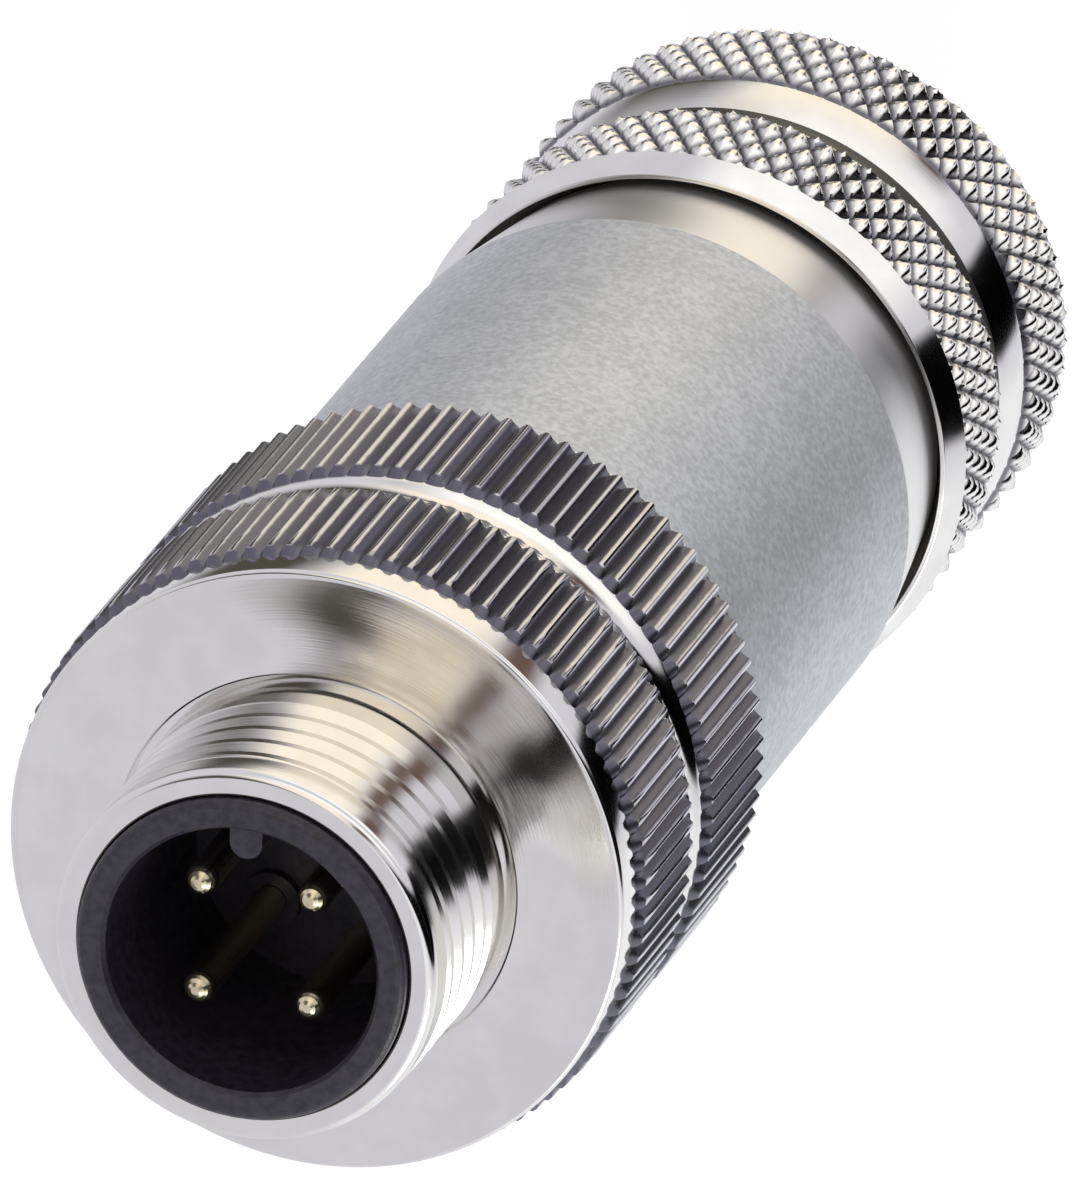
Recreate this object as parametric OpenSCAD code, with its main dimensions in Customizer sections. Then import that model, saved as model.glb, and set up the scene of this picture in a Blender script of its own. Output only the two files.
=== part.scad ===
// Four-pole M12 screw plug, field-wireable, shielded.
// It stands on its gland end: +Z points to the mating face, and z = 0 is the rear face.

/* [Mating end] */
// Major diameter of the coupling thread
thread_d = 11.95; // [11:0.05:13]
// Length of the smooth lead-in at the barrel's front
thread_lead_len = 1.2; // [0.8:0.1:2]
// Length of the threaded stretch
thread_len = 4.05; // [3:0.05:6]
// Length of the plain shank between the thread and the nut's face
shank_len = 1.45; // [0.8:0.05:2]
// Width of the narrow groove round the shank's foot
foot_groove_w = 0.25; // [0.15:0.05:0.5]
// Depth of that groove in the nut's face
foot_groove_depth = 0.4; // [0.2:0.05:0.8]
// Depth of the undercut at the shank's foot
foot_undercut = 0.2; // [0.16:0.02:0.3]
// Thickness of the barrel's wall
barrel_wall = 0.82; // [0.7:0.01:1]
// Distance that the contact insert stands proud of the barrel
insert_proud = 0.4; // [0.1:0.1:1]
// Thickness of the insert's collar
collar_wall = 0.9; // [0.7:0.05:1.1]
// Depth of the cavity in the collar
cavity_depth = 8.5; // [7.5:0.1:9]
// Width of the key rib
key_w = 1.0; // [0.8:0.05:1.2]
// Distance that the key rib stands into the cavity
key_reach = 1.0; // [0.7:0.05:1.1]

/* [Contacts] */
// Diameter of the contact pins
pin_d = 1.0; // [0.9:0.01:1.1]
// Distance that a pin's shaft is wider all round where the plastic holds it
pin_step = 0.2; // [0.05:0.05:0.3]
// Diameter of the circle that the pins stand on
pin_circle_d = 4.9; // [4.8:0.05:5.2]
// Distance of the pin tips behind the collar's rim
pin_recess = 1.2; // [0.6:0.1:2]
// Diameter of the terminal posts
post_d = 2.6; // [2.5:0.1:2.9]
// Length of the terminal posts
post_len = 9.0; // [8:0.5:10]
// Diameter of the wire hole in a post
wire_hole_d = 1.6; // [1.2:0.1:1.7]
// Depth of the wire hole
wire_hole_depth = 6.0; // [5:0.5:6.5]
// Thread diameter of the terminal screws
screw_d = 1.9; // [1.6:0.1:2]
// Distance that the screws' heads are wider all round
screw_head_step = 0.15; // [0.1:0.05:0.2]

/* [Coupling nut] */
// Diameter over the straight knurl
coupling_d = 19.7; // [19:0.1:22]
// Number of teeth in the straight knurl
coupling_teeth = 98; // [60:2:120]
// Depth of the straight knurl
coupling_tooth_depth = 0.26; // [0.15:0.01:0.35]
// Length of the plain land behind the front face
land_len = 1.2; // [0.6:0.05:2]
// Length of the front knurled band
front_band_len = 5.05; // [3:0.05:7]
// Width of the groove between the bands
coupling_groove_w = 1.3; // [0.6:0.05:2]
// Depth of that groove below the knurl's roots
coupling_groove_depth = 0.15; // [0.05:0.05:0.4]
// Length of the rear knurled band
rear_band_len = 5.6; // [4:0.1:7]
// Depth of the shallow hollow turned into the front face
face_dish = 0.12; // [0.04:0.02:0.3]
// Thickness of the nut's front wall
coupling_wall = 1.9; // [1.6:0.1:2.5]

/* [Sleeve] */
// Diameter of the body sleeve
sleeve_d = 17.5; // [16.5:0.1:18.5]
// Length of the sleeve at its full diameter
sleeve_plain_len = 17.3; // [14:0.1:22]
// Length of the polished taper at the sleeve's rear
taper_len = 5.2; // [3:0.1:7]
// Drop in radius along the taper
taper_drop = 0.7; // [0.3:0.05:0.9]
// Thickness of the sleeve's wall
sleeve_wall = 1.5; // [1.2:0.1:1.7]
// Step from the taper's small end down to the rear thread
spigot_step = 0.55; // [0.4:0.05:0.7]

/* [Gland] */
// Radial gap between the taper's small end and the gland nut's mouth
neck_side_gap = 0.35; // [0.2:0.05:0.5]
// Thickness of the gland nut's lip at its mouth, out to the knurl's crests
lip_wall = 0.6; // [0.5:0.05:1]
// Depth of the mouth
gland_mouth_depth = 1.5; // [1:0.1:2]
// Number of diamonds round the gland nut
gland_diamonds = 60; // [40:2:72]
// Rows of half pitch in each diamond-knurled band
gland_rows = 5; // [3:2:7]
// Depth of the diamond knurl
gland_knurl_depth = 0.3; // [0.15:0.01:0.35]
// Width of the groove between the two bands
gland_groove_w = 2.7; // [1.5:0.1:4]
// Depth of that groove below the knurl's roots
gland_groove_depth = 0.25; // [0.1:0.05:0.3]
// Length of the nut's front chamfer
gland_nose_len = 1.0; // [0.5:0.1:1.5]
// Drop in radius along the front chamfer
gland_nose_drop = 0.4; // [0.35:0.05:0.5]
// Thickness of the gland nut's rear wall
gland_wall = 1.5; // [1:0.1:2.5]

/* [Cable clamping] */
// Outer diameter of the cable seal
seal_d = 9.8; // [9:0.1:10.4]
// Thickness of the cable seal
seal_wall = 1.0; // [0.6:0.1:1.5]
// Length of the cable seal
seal_len = 6.4; // [5:0.1:6.7]
// Thickness of the thrust washer
washer_t = 0.8; // [0.5:0.1:1.2]
// Thickness of the clamping cage's flange
cage_flange_t = 1.0; // [0.6:0.1:1.4]
// Length of the cage's fingers
finger_len = 6.8; // [6.5:0.1:7.4]
// Thickness of the cage's fingers
finger_wall = 0.8; // [0.5:0.1:1]
// Number of fingers on the cage
fingers = 8; // [6:1:10]
// Width of the slots between the fingers
finger_slot_w = 0.9; // [0.6:0.1:1.2]
// Height of the shield ring
shield_ring_h = 3.2; // [2:0.1:4]
// Thickness of the shield ring's walls
shield_ring_wall = 0.4; // [0.3:0.05:0.6]

/* [Fits] */
// Radial clearance between a thread or bore and what turns in it
run_gap = 0.05; // [0.03:0.01:0.08]
// Gap between faces that turn or slide on each other
face_gap = 0.05; // [0.03:0.01:0.2]
// Gap behind the coupling nut and at the sleeve's thread stop
end_gap = 0.2; // [0.1:0.05:0.3]
// Radial clearance of parts that are pushed together
seat_gap = 0.02; // [0.01:0.01:0.04]
// Radial clearance of parts that only lie inside one another
loose_gap = 0.12; // [0.08:0.02:0.2]

/* [Hidden] */
$fn = 96;
eps = 0.01;

// Radii of the sleeve's rear end and of the gland nut that takes it
sleeve_r = sleeve_d / 2;
taper_end_r = sleeve_r - taper_drop;
gland_thread_r = taper_end_r - spigot_step;
gland_bore_r = gland_thread_r + run_gap;
gland_mouth_r = taper_end_r + neck_side_gap;
gland_r = gland_mouth_r + lip_wall;
gland_root_r = gland_r - gland_knurl_depth;
gland_groove_r = gland_root_r - gland_groove_depth;
gland_nose_r = gland_r - gland_nose_drop;

// Gland nut, from the rear face up
gland_end_chamfer = 0.35;
diamond_angle = 30;
half_pitch = PI * gland_r / gland_diamonds;
row_pitch = half_pitch / tan(diamond_angle);
gland_band_len = gland_rows * row_pitch;
rear_band_z = gland_end_chamfer;
groove_z = rear_band_z + gland_band_len;
upper_band_z = groove_z + gland_groove_w;
nose_z = upper_band_z + gland_band_len;
gland_len = nose_z + gland_nose_len;
mouth_z = gland_len - gland_mouth_depth;

// What the gland nut presses on
seal_bore_r = seal_d / 2 - seal_wall;
cable_hole_r = seal_bore_r + 0.4;
washer_z = gland_wall + face_gap;
cage_z = washer_z + washer_t + face_gap;
cage_fingers_z = cage_z + cage_flange_t;
cage_flange_r = gland_bore_r - 0.6;
tighten_gap = 0.3;
spigot_z = cage_fingers_z + tighten_gap;
finger_in_r = seal_d / 2 + run_gap;
finger_r = finger_in_r + finger_wall;
finger_root_len = 1.2;
sleeve_seal_bore_r = finger_r + 0.1;

// Body sleeve
neck_gap = 0.4;
neck_z = mouth_z + neck_gap;
shoulder_z = neck_z + taper_len;
sleeve_front_z = shoulder_z + sleeve_plain_len;
seal_bore_top_z = cage_fingers_z + finger_len + 0.1;
seal_cone_len = 1.6;
cable_way_r = seal_d / 2 - 0.3;
inner_shoulder_z = seal_bore_top_z + seal_cone_len + 1.2;
sleeve_bore_r = sleeve_r - sleeve_wall;
carrier_thread_r = sleeve_bore_r + 0.25;
sleeve_thread_len = 5.6;
thread_stop_z = sleeve_front_z - sleeve_thread_len;

// Coupling nut
nut_rear_z = sleeve_front_z + end_gap;
groove_low_z = nut_rear_z + rear_band_len;
front_band_z = groove_low_z + coupling_groove_w;
land_z = front_band_z + front_band_len;
face_z = land_z + land_len;
coupling_root_r = coupling_d / 2 - coupling_tooth_depth;
land_r = coupling_root_r - 0.03;
barrel_r = thread_d / 2;
barrel_z = face_z + shank_len;
lead_z = barrel_z + thread_len;
barrel_front_z = lead_z + thread_lead_len;
coupling_bore_r = barrel_r - barrel_wall;
counterbore_z = face_z - coupling_wall;

// Contact insert
collar_r = coupling_bore_r - run_gap;
cavity_r = collar_r - collar_wall;
key_r = cavity_r - key_reach;
front_z = barrel_front_z + insert_proud;
floor_z = front_z - cavity_depth;
insert_flange_t = 2.4;
insert_seat_z = thread_stop_z + insert_flange_t + 0.5;
insert_flange_r = carrier_thread_r - 1.2;
block_r = insert_flange_r - 0.2;
chamber_gap = 0.05;
post_top_z = insert_seat_z - 0.6;
post_z = post_top_z - post_len;
block_z = post_z - 0.4;
screw_z = post_z + wire_hole_depth / 2 + 0.4;
screw_head_r = screw_d / 2 + screw_head_step;
pin_tip_z = front_z - pin_recess;
// Raised ring round each pin's foot, with a lip that stops the pin's wider shaft
boss_top_z = floor_z + 0.3;
boss_lip = 0.1;

// Front carrier
carrier_r = carrier_thread_r - 0.5;
carrier_front_z = counterbore_z - face_gap;
carrier_z = thread_stop_z + face_gap;
ring_t = 0.9;
ring_z = nut_rear_z + 2.0;
ring_groove_depth = 0.55;
seal_cord_d = 0.8;
seal_groove_w = seal_cord_d + 0.2;
seal_groove_z = sleeve_front_z - 0.5 - seal_groove_w;

// Angle of each pole, with the key rib between the first two
function pole_angle(i) = 45 + 90 * i;

// Points of a straight-knurled outline: flat crests with a V groove after each
function knurl_outline(r, depth, teeth) = [
    for (i = [0 : teeth - 1], p = [[0, 0], [0.3, 0], [0.65, -depth]])
        let (a = 360 * (i + p[0]) / teeth, q = r + p[1]) [q * cos(a), q * sin(a)]
];

// Points of an arc about a centre, from angle a to angle b
function arc(centre, r, a, b, steps) = [
    for (i = [0 : steps]) let (t = a + (b - a) * i / steps)
        [centre[0] + r * cos(t), centre[1] + r * sin(t)]
];

// A ring with a square section
module ring(r_in, r_out, z, h) {
    translate([0, 0, z]) difference() {
        cylinder(r = r_out, h = h);
        translate([0, 0, -eps]) cylinder(r = r_in, h = h + 2 * eps);
    }
}

module coupling_nut() {
    // The turned profile clears the knurl's crests and dips below its roots beside each band
    clear_r = coupling_d / 2 + 0.1;
    side_r = coupling_root_r - 0.05;
    slope = clear_r - side_r;
    land_slope = clear_r - land_r;
    lead_drop = 0.35;
    edge_r = 0.15;
    groove_r = barrel_r + foot_groove_w;
    color("lightgray") difference() {
        intersection() {
            translate([0, 0, nut_rear_z - 1]) linear_extrude(height = barrel_front_z - nut_rear_z + 2)
                polygon(knurl_outline(coupling_d / 2, coupling_tooth_depth, coupling_teeth));
            rotate_extrude() polygon(concat(
                [
                    [0, nut_rear_z], [side_r, nut_rear_z], [clear_r, nut_rear_z + slope],
                    [clear_r, groove_low_z - slope]
                ],
                [
                    for (t = [0 : 6])
                        [side_r - coupling_groove_depth * sin(30 * t),
                         groove_low_z + coupling_groove_w * t / 6]
                ],
                [
                    [clear_r, front_band_z + slope], [clear_r, land_z - land_slope],
                    [land_r, land_z]
                ],
                arc([land_r - edge_r, face_z - edge_r], edge_r, 0, 90, 3),
                [
                    for (t = [1 : 6])
                        [land_r - edge_r - (land_r - edge_r - groove_r) * t / 6,
                         face_z - face_dish * sin(30 * t)]
                ],
                [
                    [groove_r, face_z - foot_groove_depth],
                    [barrel_r - foot_undercut, face_z - foot_groove_depth],
                    [barrel_r - foot_undercut, face_z + 0.1],
                    [barrel_r, face_z + 0.1 + foot_undercut], [barrel_r, lead_z], [barrel_r - 0.1, lead_z + 0.4],
                    [barrel_r - 0.1, barrel_front_z - lead_drop],
                    [barrel_r - 0.1 - lead_drop, barrel_front_z], [0, barrel_front_z]
                ]
            ));
        }
        // Bore for the insert's collar, and counterbore for the carrier
        translate([0, 0, nut_rear_z - eps])
            cylinder(r = coupling_bore_r, h = barrel_front_z - nut_rear_z + 2 * eps);
        translate([0, 0, nut_rear_z - eps])
            cylinder(r = carrier_r + run_gap, h = counterbore_z - nut_rear_z + eps);
        // Groove for the retaining ring
        ring(carrier_r - 0.5, carrier_r + ring_groove_depth + 0.1,
             ring_z - face_gap, ring_t + 2 * face_gap);
    }
}

module contact_insert() {
    rim_r = 0.25;
    color("#26262a") {
        difference() {
            union() {
                rotate_extrude() polygon(concat(
                    [
                        [0, block_z], [block_r - 0.3, block_z], [block_r, block_z + 0.3],
                        [block_r, insert_seat_z - insert_flange_t],
                        [insert_flange_r, insert_seat_z - insert_flange_t],
                        [insert_flange_r, insert_seat_z], [collar_r, insert_seat_z]
                    ],
                    arc([collar_r - rim_r, front_z - rim_r], rim_r, 0, 90, 4),
                    [[cavity_r + 0.12, front_z], [cavity_r, front_z - 0.15], [cavity_r, floor_z],
                     [0, floor_z]]
                ));
                for (i = [0 : 3]) rotate(pole_angle(i))
                    translate([pin_circle_d / 2, 0, floor_z - 0.5])
                        cylinder(r = pin_d / 2 + pin_step + 0.2, h = boss_top_z - floor_z + 0.5);
            }
            for (i = [0 : 3]) rotate(pole_angle(i)) {
                // Way for the pin, chamber for its post, and access for its screw
                translate([pin_circle_d / 2, 0, post_top_z - 1])
                    cylinder(r = pin_d / 2 + pin_step + seat_gap,
                             h = boss_top_z - boss_lip - post_top_z + 1);
                translate([pin_circle_d / 2, 0, floor_z])
                    cylinder(r = pin_d / 2 + seat_gap, h = 1);
                translate([pin_circle_d / 2, 0, block_z - eps])
                    cylinder(r = post_d / 2 + chamber_gap, h = post_top_z + seat_gap - block_z + eps);
                translate([pin_circle_d / 2, 0, screw_z]) rotate([0, 90, 0])
                    cylinder(r = screw_head_r + 2 * chamber_gap, h = block_r);
            }
        }
        // Key rib with a rounded tip and a bevelled front end
        difference() {
            translate([0, 0, floor_z - eps]) linear_extrude(height = cavity_depth - 0.3) union() {
                translate([0, key_r + key_w / 2]) circle(d = key_w);
                translate([-key_w / 2, key_r + key_w / 2])
                    square([key_w, cavity_r - key_r - key_w / 2 + 0.15]);
            }
            translate([-key_w, key_r - 0.1, front_z - 0.3]) rotate([-40, 0, 0])
                translate([0, -1, -0.75]) cube([2 * key_w, 1, 2]);
        }
    }
}

// A turned pin with its terminal post, at one pole
module contact_pin(i) {
    r = pin_d / 2;
    color("#d9b45a") rotate(pole_angle(i)) translate([pin_circle_d / 2, 0, 0]) difference() {
        rotate_extrude() polygon(concat(
            [[0, post_z], [post_d / 2 - 0.15, post_z], [post_d / 2, post_z + 0.15],
             [post_d / 2, post_top_z], [r + pin_step, post_top_z],
             [r + pin_step, boss_top_z - boss_lip - seat_gap],
             [r, boss_top_z - boss_lip - seat_gap]],
            arc([0, pin_tip_z - r], r, 0, 90, 6)
        ));
        translate([0, 0, post_z - eps]) cylinder(d = wire_hole_d, h = wire_hole_depth);
        translate([0, 0, screw_z]) rotate([0, 90, 0])
            cylinder(d = screw_d + 2 * seat_gap, h = post_d);
    }
}

// A slotted screw that clamps the wire in one post
module terminal_screw(i) {
    tip_r = pin_circle_d / 2 + wire_hole_d / 2;
    head_r = pin_circle_d / 2 + post_d / 2 + 0.15;
    head_t = block_r - head_r - 0.2;
    color("silver") rotate(pole_angle(i)) translate([0, 0, screw_z]) rotate([0, 90, 0]) difference() {
        union() {
            translate([0, 0, tip_r]) cylinder(d1 = screw_d - 0.5, d2 = screw_d, h = 0.25);
            translate([0, 0, tip_r + 0.25 - eps]) cylinder(d = screw_d, h = head_r - tip_r);
            translate([0, 0, head_r]) cylinder(r = screw_head_r, h = head_t);
        }
        translate([-2 * screw_head_r, -0.18, head_r + head_t - 0.55])
            cube([4 * screw_head_r, 0.36, 1]);
    }
}

module front_carrier() {
    color("#c9c9c4") difference() {
        rotate_extrude() polygon([
            [coupling_bore_r, carrier_front_z], [coupling_bore_r, insert_seat_z + seat_gap],
            [insert_flange_r + run_gap, insert_seat_z + seat_gap],
            [insert_flange_r + run_gap, carrier_z], [carrier_thread_r - 0.3, carrier_z],
            [carrier_thread_r, carrier_z + 0.3], [carrier_thread_r, sleeve_front_z],
            [carrier_r, sleeve_front_z + end_gap / 2], [carrier_r, carrier_front_z - 0.2],
            [carrier_r - 0.2, carrier_front_z]
        ]);
        // Grooves for the retaining ring and for the seal
        ring(carrier_r - ring_groove_depth, carrier_r + 1, ring_z - face_gap, ring_t + 2 * face_gap);
        ring(carrier_thread_r - seal_cord_d, carrier_thread_r + 1, seal_groove_z, seal_groove_w);
    }
}

// Split spring ring, half in the carrier's groove and half in the nut's
module nut_retaining_ring() {
    split_angle = 8;
    color("darkgray") rotate(-90 + split_angle / 2) translate([0, 0, ring_z])
        rotate_extrude(angle = 360 - split_angle)
            translate([carrier_r - ring_groove_depth + run_gap, 0])
                square([2 * ring_groove_depth - run_gap, ring_t]);
}

module carrier_seal() {
    color("#303030") translate([0, 0, seal_groove_z + seal_groove_w / 2]) rotate_extrude()
        translate([carrier_thread_r - seal_cord_d / 2 + seat_gap, 0])
            circle(d = seal_cord_d, $fn = 32);
}

module insulating_liner() {
    liner_z = inner_shoulder_z + shield_ring_h + face_gap;
    color("#e8e6dc") ring(block_r + loose_gap, sleeve_bore_r - loose_gap, liner_z,
                          carrier_z - face_gap - liner_z);
}

module body_sleeve() {
    color("#b9bab8") difference() {
        rotate_extrude() polygon([
            [sleeve_seal_bore_r, spigot_z], [gland_thread_r - 0.3, spigot_z],
            [gland_thread_r, spigot_z + 0.3], [gland_thread_r, neck_z],
            [taper_end_r, neck_z], [sleeve_r, shoulder_z],
            [sleeve_r, sleeve_front_z - 0.2], [sleeve_r - 0.2, sleeve_front_z],
            [carrier_thread_r + run_gap, sleeve_front_z],
            [carrier_thread_r + run_gap, thread_stop_z], [sleeve_bore_r, thread_stop_z],
            [sleeve_bore_r, inner_shoulder_z], [cable_way_r, inner_shoulder_z],
            [cable_way_r, seal_bore_top_z + seal_cone_len], [sleeve_seal_bore_r, seal_bore_top_z]
        ]);
    }
}

// Spring ring that presses the cable's screen against the sleeve
module shield_ring() {
    wall = shield_ring_wall;
    r_out = sleeve_bore_r - loose_gap;
    r_in = cable_way_r + 0.1;
    slots = 8;
    color("#cfcfca") difference() {
        union() {
            ring(r_in, r_out, inner_shoulder_z + face_gap, wall);
            ring(r_out - wall, r_out, inner_shoulder_z + face_gap, shield_ring_h - face_gap);
            ring(r_in, r_in + wall, inner_shoulder_z + face_gap, shield_ring_h - 0.6);
        }
        for (i = [0 : slots - 1]) rotate(360 * i / slots)
            translate([r_in - 0.5, -0.25, inner_shoulder_z + face_gap + wall + 0.3])
                cube([1.2, 0.5, shield_ring_h]);
    }
}

module cable_seal() {
    r = seal_d / 2;
    z = cage_fingers_z;
    lips = 3;
    step = seal_len / lips;
    color("#3a3a3c") rotate_extrude() polygon(concat(
        [[seal_bore_r, z + seal_len], [seal_bore_r, z]],
        [for (i = [0 : lips - 1], p = [[0, 0.05], [-0.2, 0.55], [0, 0.6], [0, 0.95]])
            [r + p[0], z + step * (i + p[1])]]
    ));
}

module clamp_cage() {
    tip = finger_wall / 2;
    color("#dcdcd4") difference() {
        rotate_extrude() polygon([
            [cable_hole_r, cage_z], [cage_flange_r, cage_z],
            [cage_flange_r, cage_fingers_z], [finger_r, cage_fingers_z],
            [finger_r, cage_fingers_z + finger_len - tip],
            [finger_r - tip, cage_fingers_z + finger_len],
            [finger_in_r, cage_fingers_z + finger_len],
            [finger_in_r, cage_fingers_z], [cable_hole_r, cage_fingers_z]
        ]);
        for (i = [0 : fingers - 1]) rotate(360 * i / fingers)
            translate([finger_in_r - 0.1, -finger_slot_w / 2,
                       cage_fingers_z + finger_root_len])
                cube([finger_wall + 0.6, finger_slot_w, finger_len]);
    }
}

module thrust_washer() {
    color("silver") ring(cable_hole_r + 0.1, gland_bore_r - 0.3, washer_z, washer_t);
}

// The nut's skin: rings of points round the axis, with raised points where rows cross
module knurled_skin() {
    cols = 2 * gland_diamonds;
    top_r = gland_r;
    root_r = gland_root_r;
    // Each ring is [height, radius at raised points, radius at the others, parity]
    function band(z0) = [
        for (k = [0 : gland_rows])
            let (end = k == 0 || k == gland_rows, peak = end ? (top_r + root_r) / 2 : top_r)
                [z0 + k * row_pitch, peak, root_r, k % 2]
    ];
    groove = [
        for (t = [0.1, 0.25, 0.5, 0.7, 0.9])
            [groove_z + t * gland_groove_w,
             root_r - gland_groove_depth * sin(180 * t),
             root_r - gland_groove_depth * sin(180 * t), 0]
    ];
    rings = concat(
        [[0, root_r - gland_end_chamfer, root_r - gland_end_chamfer, 0]],
        band(rear_band_z), groove, band(upper_band_z),
        [
            [nose_z + 0.15, root_r, root_r, 0], [gland_len - 0.1, gland_nose_r, gland_nose_r, 0],
            [gland_len, gland_nose_r - 0.1, gland_nose_r - 0.1, 0]
        ]
    );
    rows = len(rings);
    points = [
        for (i = [0 : rows - 1], j = [0 : cols - 1])
            let (g = rings[i], r = (g[3] + j) % 2 == 0 ? g[1] : g[2], a = 360 * j / cols)
                [r * cos(a), r * sin(a), g[0]]
    ];
    faces = concat(
        [[for (j = [0 : cols - 1]) j]],
        [[for (j = [0 : cols - 1]) (rows - 1) * cols + cols - 1 - j]],
        [
            for (i = [0 : rows - 2], j = [0 : cols - 1], half = [0, 1])
                let (
                    k = (j + 1) % cols, a = i * cols + j, b = i * cols + k,
                    c = (i + 1) * cols + k, d = (i + 1) * cols + j
                )
                // The cell's diagonal joins its two low corners
                (rings[i][3] + j) % 2 == 0
                    ? (half == 0 ? [a, d, b] : [b, d, c])
                    : (half == 0 ? [a, d, c] : [a, c, b])
        ]
    );
    polyhedron(points = points, faces = faces);
}

module gland_nut() {
    lip = 0.4;
    color("lightgray") difference() {
        knurled_skin();
        rotate_extrude() polygon([
            [0, -eps], [cable_hole_r + lip + eps, -eps], [cable_hole_r, lip],
            [cable_hole_r, gland_wall], [gland_bore_r, gland_wall], [gland_bore_r, mouth_z],
            [gland_mouth_r, mouth_z], [gland_mouth_r, gland_len + eps], [0, gland_len + eps]
        ]);
    }
}

coupling_nut();
contact_insert();
contact_pin(0);  // contact_pin_1
contact_pin(1);  // contact_pin_2
contact_pin(2);  // contact_pin_3
contact_pin(3);  // contact_pin_4
terminal_screw(0);  // terminal_screw_1
terminal_screw(1);  // terminal_screw_2
terminal_screw(2);  // terminal_screw_3
terminal_screw(3);  // terminal_screw_4
front_carrier();
nut_retaining_ring();
carrier_seal();
insulating_liner();
body_sleeve();
shield_ring();
cable_seal();
clamp_cage();
thrust_washer();
gland_nut();
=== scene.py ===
import bpy
import bmesh
import math
from mathutils import Matrix, Vector


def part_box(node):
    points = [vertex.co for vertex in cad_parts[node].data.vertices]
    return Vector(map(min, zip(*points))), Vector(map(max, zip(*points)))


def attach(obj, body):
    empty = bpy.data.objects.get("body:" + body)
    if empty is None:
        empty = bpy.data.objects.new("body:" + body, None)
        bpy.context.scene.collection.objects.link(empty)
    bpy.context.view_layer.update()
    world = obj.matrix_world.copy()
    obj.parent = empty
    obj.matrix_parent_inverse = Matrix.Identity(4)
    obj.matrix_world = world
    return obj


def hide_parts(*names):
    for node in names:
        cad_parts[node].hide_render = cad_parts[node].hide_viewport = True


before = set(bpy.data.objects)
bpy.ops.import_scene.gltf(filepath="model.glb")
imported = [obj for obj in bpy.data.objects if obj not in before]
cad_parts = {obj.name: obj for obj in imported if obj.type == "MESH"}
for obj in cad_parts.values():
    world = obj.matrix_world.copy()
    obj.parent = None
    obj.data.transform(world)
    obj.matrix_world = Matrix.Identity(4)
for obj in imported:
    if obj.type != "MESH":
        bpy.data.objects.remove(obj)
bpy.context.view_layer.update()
mm = 0.001    # settings are in millimetres and degrees, and the scene is in metres
print("frame loaded:", len(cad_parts), "pieces")


def toLinear(hexColour):
    # sRGB hex to linear RGBA
    parts = [int(hexColour[i:i + 2], 16) / 255 for i in (1, 3, 5)]
    return [c / 12.92 if c <= 0.04045 else ((c + 0.055) / 1.055) ** 2.4 for c in parts] + [1.0]


def addNode(tree, kind, inputs=(), **settings):
    # inputs stand in order or by name; a socket, or a node's first one, is linked,
    # and anything else is typed in
    node = tree.nodes.new(kind)
    for key, value in settings.items():
        setattr(node, key, value)
    named = inputs if isinstance(inputs, dict) else dict(enumerate(inputs))
    for key, value in named.items():
        if isinstance(value, bpy.types.Node):
            value = value.outputs[0]
        if isinstance(value, bpy.types.NodeSocket):
            tree.links.new(value, node.inputs[key])
        else:
            node.inputs[key].default_value = value
    return node


def place(obj, body, slot, *nodes):
    # hands a finished piece over: the body it rides on, and the solids it stands for, which are hidden;
    # the slot is not used
    bpy.context.scene.collection.objects.link(obj)
    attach(obj, body)
    if nodes:
        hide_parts(*nodes)


def makeObject(name, bm, mesh, sharpAngle):
    # faces outwards, and smooth shading with the true edges kept sharp
    bmesh.ops.recalc_face_normals(bm, faces=bm.faces)
    bm.to_mesh(mesh)
    bm.free()
    mesh.polygons.foreach_set("use_smooth", [True] * len(mesh.polygons))
    mesh.set_sharp_from_angle(angle=math.radians(sharpAngle))
    mesh.update()
    return bpy.data.objects.new(name, mesh)


def turned(name, profile, segments, sharpAngle, material):
    # revolves a closed outline of (radius, height) points about the Z axis
    bm = bmesh.new()
    rings = []
    for i in range(segments):
        a = 2 * math.pi * i / segments
        rings.append([bm.verts.new((r * mm * math.cos(a), r * mm * math.sin(a), z * mm))
                      for r, z in profile])
    count = len(profile)
    for i, here in enumerate(rings):
        there = rings[(i + 1) % segments]
        for k in range(count):
            n = (k + 1) % count
            bm.faces.new((here[k], there[k], there[n], here[n]))
    bmesh.ops.remove_doubles(bm, verts=bm.verts, dist=0.0001 * mm)
    mesh = bpy.data.meshes.new(name)
    mesh.materials.append(material)
    return makeObject(name, bm, mesh, sharpAngle)


def arcPoints(cx, cz, radius, fromAngle, toAngle, steps):
    # a rounded corner of an outline
    angles = [math.radians(fromAngle + (toAngle - fromAngle) * i / steps) for i in range(steps + 1)]
    return [(cx + radius * math.cos(a), cz + radius * math.sin(a)) for a in angles]


def ends(node):
    # lowest and highest point of a solid along the plug
    low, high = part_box(node)
    return low.z / mm, high.z / mm


def pointing(azimuth, elevation):
    # unit vector from the plug towards a place in the sky
    az, el = math.radians(azimuth), math.radians(elevation)
    return Vector((math.cos(el) * math.cos(az), math.cos(el) * math.sin(az), math.sin(el)))


# the camera looks down on the mating end, rolled so that the plug points down to the left
cameraSettings = {
    "azimuth": 55.77, "elevation": 61.02, "roll": -140.27, "distance": 1023.5,
    "aim": (0.355, 0.537, 26.674), "lens": 1021.1, "sensorHeight": 36,
    "clipStart": 50, "clipEnd": 20000,
}


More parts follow.
